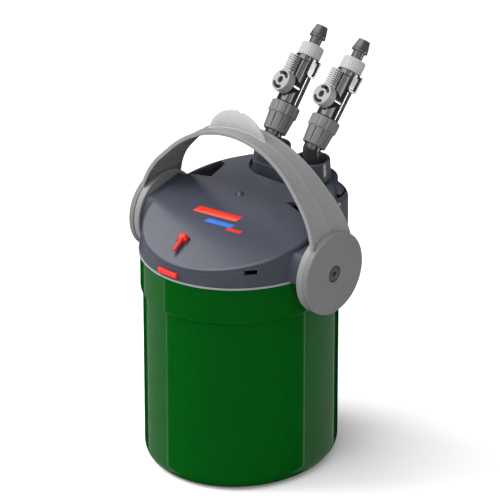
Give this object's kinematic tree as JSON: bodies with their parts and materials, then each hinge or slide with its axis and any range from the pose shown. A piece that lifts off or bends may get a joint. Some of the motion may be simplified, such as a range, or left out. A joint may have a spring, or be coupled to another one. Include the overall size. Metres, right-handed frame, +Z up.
{
  "type": "canister filter",
  "caption": "Oval external canister filter with a slanted pump head, a swinging carrying handle and lever taps with barbed hose ends leaning to the rear.",
  "frame": {"origin": "centre of the canister's underside", "axes": "+Z up, -Y towards the front catch, +X to the right handle pivot"},
  "size_m": [0.2054, 0.2308, 0.3549],
  "materials": {
    "green_shell": "glossy moulded",
    "inner_grey": "matt moulded",
    "ceramic_media": "rough ceramic tubes",
    "bio_media": "rough sintered balls",
    "blue_foam": "open foam",
    "white_fleece": "fleece",
    "anthracite": "fine satin grain",
    "cover_slate": "fine satin grain",
    "lip_grey": "satin",
    "inner_black": "matt",
    "rubber": "matt",
    "steel": "plain",
    "resin": "potted resin",
    "ceramic_white": "ground ceramic",
    "rotor_black": "matt",
    "screw_dark": "dark moulded cap",
    "red": "satin red",
    "handle_grey": "pebbled grain",
    "pipe_brown_grey": "glossy",
    "nut_grey": "satin",
    "tap_black": "glossy",
    "pale_grey": "satin",
    "barb_grey": "glossy"
  },
  "bodies": {
    "canister": {"canister": "green_shell", "riser_tube": "inner_grey", "lower_basket": "inner_grey", "ceramic_media": "ceramic_media", "coarse_foam_pad": "blue_foam", "upper_basket": "inner_grey", "bio_media": "bio_media", "fine_fleece_pad": "white_fleece", "top_screen": "inner_grey"},
    "head": {"head_housing": "anthracite", "top_cover": "cover_slate", "skirt_lip": "lip_grey", "head_base": "inner_black", "canister_gasket": "rubber", "base_screws": "steel", "stator_block": "resin", "rotor_shaft": "ceramic_white", "upper_shaft_bush": "rubber", "lower_shaft_bush": "rubber", "impeller_cover": "inner_black", "cable_gland": "rubber", "cover_button": "cover_slate", "left_pivot_screw": "screw_dark", "right_pivot_screw": "screw_dark", "inlet_elbow": "pipe_brown_grey", "inlet_elbow_seal": "rubber", "inlet_union_seal": "rubber", "inlet_tap_body": "tap_black", "inlet_clip": "tap_black", "inlet_hose_seal": "rubber", "inlet_hose_barb": "barb_grey", "outlet_elbow": "pipe_brown_grey", "outlet_elbow_seal": "rubber", "outlet_union_seal": "rubber", "outlet_tap_body": "tap_black", "outlet_clip": "tap_black", "outlet_hose_seal": "rubber", "outlet_hose_barb": "barb_grey"},
    "handle": {"handle_bow": "handle_grey", "left_pivot_disc": "handle_grey", "right_pivot_disc": "handle_grey"},
    "rotor": {"impeller_rotor": "rotor_black"},
    "catch": {"catch_button": "red"},
    "vent": {"vent_lever": "red"},
    "inlet_valve": {"inlet_ball": "inner_grey", "inlet_knob": "pale_grey", "inlet_knob_screw": "screw_dark"},
    "inlet_lower_union": {"inlet_lower_nut": "nut_grey"},
    "inlet_upper_union": {"inlet_upper_nut": "pale_grey"},
    "outlet_valve": {"outlet_ball": "inner_grey", "outlet_knob": "pale_grey", "outlet_knob_screw": "screw_dark"},
    "outlet_lower_union": {"outlet_lower_nut": "nut_grey"},
    "outlet_upper_union": {"outlet_upper_nut": "pale_grey"}
  },
  "joints": [
    {"name": "head_lift", "type": "slide", "parent": "canister", "child": "head", "axis": [0, 0, 1], "range_m": [0, 0.05]},
    {"name": "handle_fold", "type": "hinge", "parent": "head", "child": "handle", "pos_m": [0, 0.0042, 0.2], "axis": [1, 0, 0], "range_deg": [0, 88]},
    {"name": "rotor_spin", "type": "hinge", "parent": "head", "child": "rotor", "pos_m": [0, 0.014, 0.2], "axis": [0, 0, 1], "continuous": true},
    {"name": "catch_press", "type": "slide", "parent": "head", "child": "catch", "axis": [0, 1, 0], "range_m": [0, 0.002], "stiffness_N_per_m": 600},
    {"name": "vent_turn", "type": "hinge", "parent": "head", "child": "vent", "pos_m": [-0.013, -0.059, 0.21784], "axis": [0, -0.2113, 0.9774], "range_deg": [0, 90]},
    {"name": "inlet_valve_turn", "type": "hinge", "parent": "head", "child": "inlet_valve", "pos_m": [-0.02322, 0.09546, 0.30569], "axis": [-0.1525, -0.7586, 0.6335], "range_deg": [0, 90]},
    {"name": "inlet_lower_nut_turn", "type": "hinge", "parent": "head", "child": "inlet_lower_union", "pos_m": [-0.0225, 0.0666, 0.2713], "axis": [-0.016, 0.6428, 0.7659], "continuous": true},
    {"name": "inlet_upper_nut_turn", "type": "hinge", "parent": "head", "child": "inlet_upper_union", "pos_m": [-0.0225, 0.0666, 0.2713], "axis": [-0.016, 0.6428, 0.7659], "continuous": true},
    {"name": "outlet_valve_turn", "type": "hinge", "parent": "head", "child": "outlet_valve", "pos_m": [0.02322, 0.09546, 0.30569], "axis": [-0.1258, -0.7586, 0.6393], "range_deg": [0, 90]},
    {"name": "outlet_lower_nut_turn", "type": "hinge", "parent": "head", "child": "outlet_lower_union", "pos_m": [0.0225, 0.0666, 0.2713], "axis": [0.016, 0.6428, 0.7659], "continuous": true},
    {"name": "outlet_upper_nut_turn", "type": "hinge", "parent": "head", "child": "outlet_upper_union", "pos_m": [0.0225, 0.0666, 0.2713], "axis": [0.016, 0.6428, 0.7659], "continuous": true}
  ]
}
